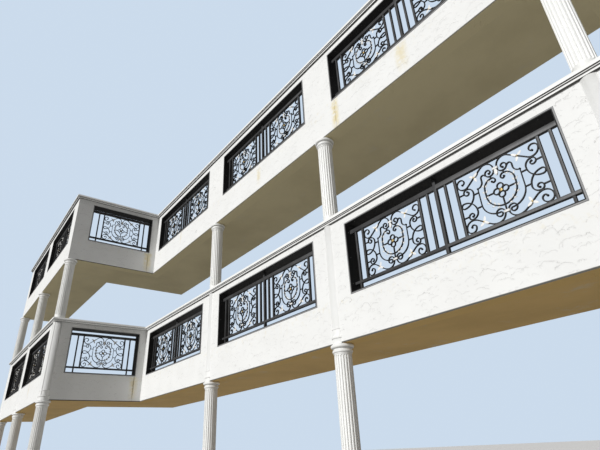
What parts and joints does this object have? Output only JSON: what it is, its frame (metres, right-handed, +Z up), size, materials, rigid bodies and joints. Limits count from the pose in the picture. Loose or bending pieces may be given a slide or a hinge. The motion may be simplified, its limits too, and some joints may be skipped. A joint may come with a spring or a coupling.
{
  "type": "iron balcony",
  "caption": "Two-storey balcony on fluted columns: white stuccoed parapets with moulded copings and openings filled by scrolled iron railings, cut off at the building wall.",
  "frame": {"origin": "middle of the lower front floor slab's back face, where it meets the building wall", "axes": "+X along the facade to the right as seen from outside, +Y into the building, +Z up"},
  "size_m": [16.105, 3.35, 7.281],
  "materials": {
    "stucco": "rough trowelled, painted white",
    "soffit_render": "smooth painted beige",
    "moulding_paint": "smooth painted white",
    "lining_metal": "satin dark",
    "wrought_iron": "satin black, slightly worn"
  },
  "bodies": {
    "root": {"floor_slab_lower_front": "soffit_render", "floor_slab_lower_wing": "soffit_render", "floor_slab_upper_front": "soffit_render", "floor_slab_upper_wing": "soffit_render", "parapet_lower_front": "stucco", "parapet_lower_return": "stucco", "parapet_lower_wing": "stucco", "parapet_upper_front": "stucco", "parapet_upper_return": "stucco", "parapet_upper_wing": "stucco", "coping_lower": "moulding_paint", "coping_upper": "moulding_paint", "pilasters_lower": "moulding_paint", "ground_column_bases": "moulding_paint", "ground_column_shafts": "moulding_paint", "ground_column_capitals": "moulding_paint", "upper_column_bases": "moulding_paint", "upper_column_shafts": "moulding_paint", "upper_column_capitals": "moulding_paint", "opening_linings_lower": "lining_metal", "opening_linings_upper": "lining_metal", "railing_lower_a": "wrought_iron", "railing_lower_b": "wrought_iron", "railing_lower_c": "wrought_iron", "railing_lower_d": "wrought_iron", "railing_lower_e": "wrought_iron", "railing_lower_f": "wrought_iron", "railing_upper_a": "wrought_iron", "railing_upper_b": "wrought_iron", "railing_upper_c": "wrought_iron", "railing_upper_d": "wrought_iron", "railing_upper_e": "wrought_iron", "railing_upper_f": "wrought_iron", "scrollwork_lower_a": "wrought_iron", "scrollwork_lower_b": "wrought_iron", "scrollwork_lower_c": "wrought_iron", "scrollwork_lower_d": "wrought_iron", "scrollwork_lower_e": "wrought_iron", "scrollwork_lower_f": "wrought_iron", "scrollwork_upper_a": "wrought_iron", "scrollwork_upper_b": "wrought_iron", "scrollwork_upper_c": "wrought_iron", "scrollwork_upper_d": "wrought_iron", "scrollwork_upper_e": "wrought_iron", "scrollwork_upper_f": "wrought_iron"}
  },
  "joints": []
}
